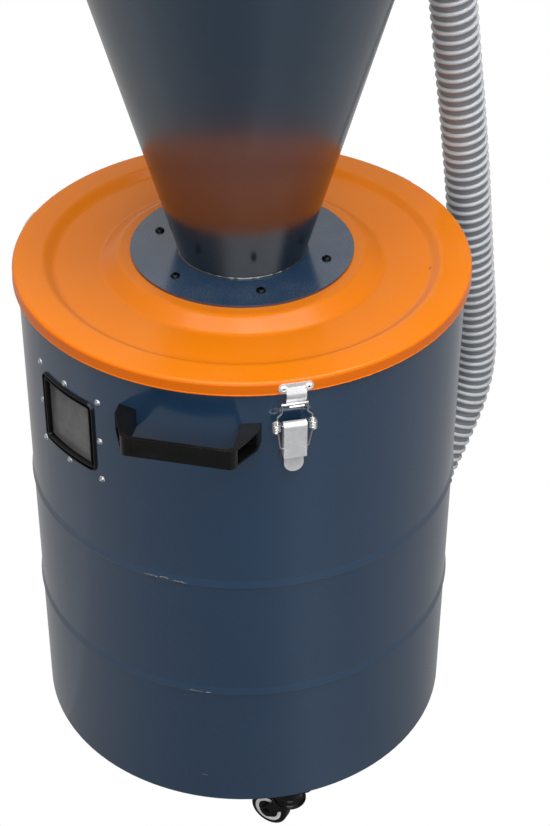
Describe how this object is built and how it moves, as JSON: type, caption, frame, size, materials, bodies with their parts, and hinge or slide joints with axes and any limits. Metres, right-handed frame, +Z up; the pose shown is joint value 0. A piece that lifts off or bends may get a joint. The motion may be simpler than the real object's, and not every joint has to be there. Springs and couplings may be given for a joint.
{
  "type": "cyclone dust collector base",
  "caption": "Steel dust drum on swivel casters with a latched lid, bow handles and a sight window, under a bolted cone with a corrugated pressure-balance hose.",
  "frame": {"origin": "floor level under the drum's axis", "axes": "+Z up along the drum and cone, -Y towards the front latch"},
  "size_m": [0.6117, 0.5794, 1.1615],
  "materials": {
    "slate_paint": "semi-gloss powder coat with fine orange peel, chipped along the beads",
    "orange_paint": "semi-gloss powder coat with fine orange peel",
    "black_steel": "black oxide",
    "stainless": "satin stainless sheet and wire",
    "zinc_steel": "zinc plated",
    "black_paint": "gloss black",
    "black_plastic": "satin, scuffed at the edges",
    "black_rubber": "matt",
    "wheel_tread": "satin",
    "window": "clear pane, dusty on its inner face",
    "grey_hose": "satin"
  },
  "bodies": {
    "base_unit": {"drum_shell": "slate_paint", "drum_floor": "slate_paint", "lid": "orange_paint", "lid_gasket": "black_rubber", "neck_flange": "slate_paint", "cone_shell": "slate_paint", "mouth_flange": "slate_paint", "neck_bolts": "black_steel", "window_pane": "window", "window_trim": "black_rubber", "window_screws": "stainless", "front_handle": "black_plastic", "rear_handle": "black_plastic", "latch_base_1": "stainless", "latch_base_2": "stainless", "latch_base_3": "stainless", "latch_keeper_1": "stainless", "latch_keeper_2": "stainless", "latch_keeper_3": "stainless", "caster_plate_1": "zinc_steel", "caster_plate_2": "zinc_steel", "caster_plate_3": "zinc_steel", "hose_port": "slate_paint", "hose_cuff_lower": "black_rubber", "hose_clamp": "stainless", "hose": "grey_hose", "hose_cuff_upper": "black_rubber", "hose_bracket": "slate_paint"},
    "lever_1": {"latch_lever_1": "stainless"},
    "bail_1": {"latch_bail_1": "stainless"},
    "lever_2": {"latch_lever_2": "stainless"},
    "bail_2": {"latch_bail_2": "stainless"},
    "lever_3": {"latch_lever_3": "stainless"},
    "bail_3": {"latch_bail_3": "stainless"},
    "fork_1": {"caster_fork_1": "black_paint"},
    "wheel_1": {"caster_wheel_1": "wheel_tread"},
    "fork_2": {"caster_fork_2": "black_paint"},
    "wheel_2": {"caster_wheel_2": "wheel_tread"},
    "fork_3": {"caster_fork_3": "black_paint"},
    "wheel_3": {"caster_wheel_3": "wheel_tread"}
  },
  "joints": [
    {"name": "lever_hinge_1", "type": "hinge", "parent": "base_unit", "child": "lever_1", "pos_m": [0, -0.2605, 0.643], "axis": [-1, 0, 0], "range_deg": [0, 90]},
    {"name": "bail_hinge_1", "type": "hinge", "parent": "lever_1", "child": "bail_1", "pos_m": [0, -0.2605, 0.6145], "axis": [-1, 0, 0], "range_deg": [-118, 0]},
    {"name": "lever_hinge_2", "type": "hinge", "parent": "base_unit", "child": "lever_2", "pos_m": [0.2256, 0.13025, 0.643], "axis": [0.5, -0.866, 0], "range_deg": [0, 90]},
    {"name": "bail_hinge_2", "type": "hinge", "parent": "lever_2", "child": "bail_2", "pos_m": [0.2256, 0.13025, 0.6145], "axis": [0.5, -0.866, 0], "range_deg": [-118, 0]},
    {"name": "lever_hinge_3", "type": "hinge", "parent": "base_unit", "child": "lever_3", "pos_m": [-0.2256, 0.13025, 0.643], "axis": [0.5, 0.866, 0], "range_deg": [0, 90]},
    {"name": "bail_hinge_3", "type": "hinge", "parent": "lever_3", "child": "bail_3", "pos_m": [-0.2256, 0.13025, 0.6145], "axis": [0.5, 0.866, 0], "range_deg": [-118, 0]},
    {"name": "caster_swivel_1", "type": "hinge", "parent": "base_unit", "child": "fork_1", "pos_m": [0.00792, -0.22686, 0.062], "axis": [0, 0, 1], "continuous": true},
    {"name": "wheel_axle_1", "type": "hinge", "parent": "fork_1", "child": "wheel_1", "pos_m": [-0.01066, -0.21013, 0.024], "axis": [-0.6691, -0.7431, 0], "continuous": true},
    {"name": "caster_swivel_2", "type": "hinge", "parent": "base_unit", "child": "fork_2", "pos_m": [0.19251, 0.12029, 0.062], "axis": [0, 0, 1], "continuous": true},
    {"name": "wheel_axle_2", "type": "hinge", "parent": "fork_2", "child": "wheel_2", "pos_m": [0.17393, 0.13702, 0.024], "axis": [-0.6691, -0.7431, 0], "continuous": true},
    {"name": "caster_swivel_3", "type": "hinge", "parent": "base_unit", "child": "fork_3", "pos_m": [-0.20043, 0.10657, 0.062], "axis": [0, 0, 1], "continuous": true},
    {"name": "wheel_axle_3", "type": "hinge", "parent": "fork_3", "child": "wheel_3", "pos_m": [-0.21901, 0.1233, 0.024], "axis": [-0.6691, -0.7431, 0], "continuous": true}
  ],
  "couplings": [
    {"joint": "bail_hinge_1", "follows": "lever_hinge_1", "ratio": -1.3107},
    {"joint": "bail_hinge_2", "follows": "lever_hinge_2", "ratio": -1.3107},
    {"joint": "bail_hinge_3", "follows": "lever_hinge_3", "ratio": -1.3107}
  ]
}
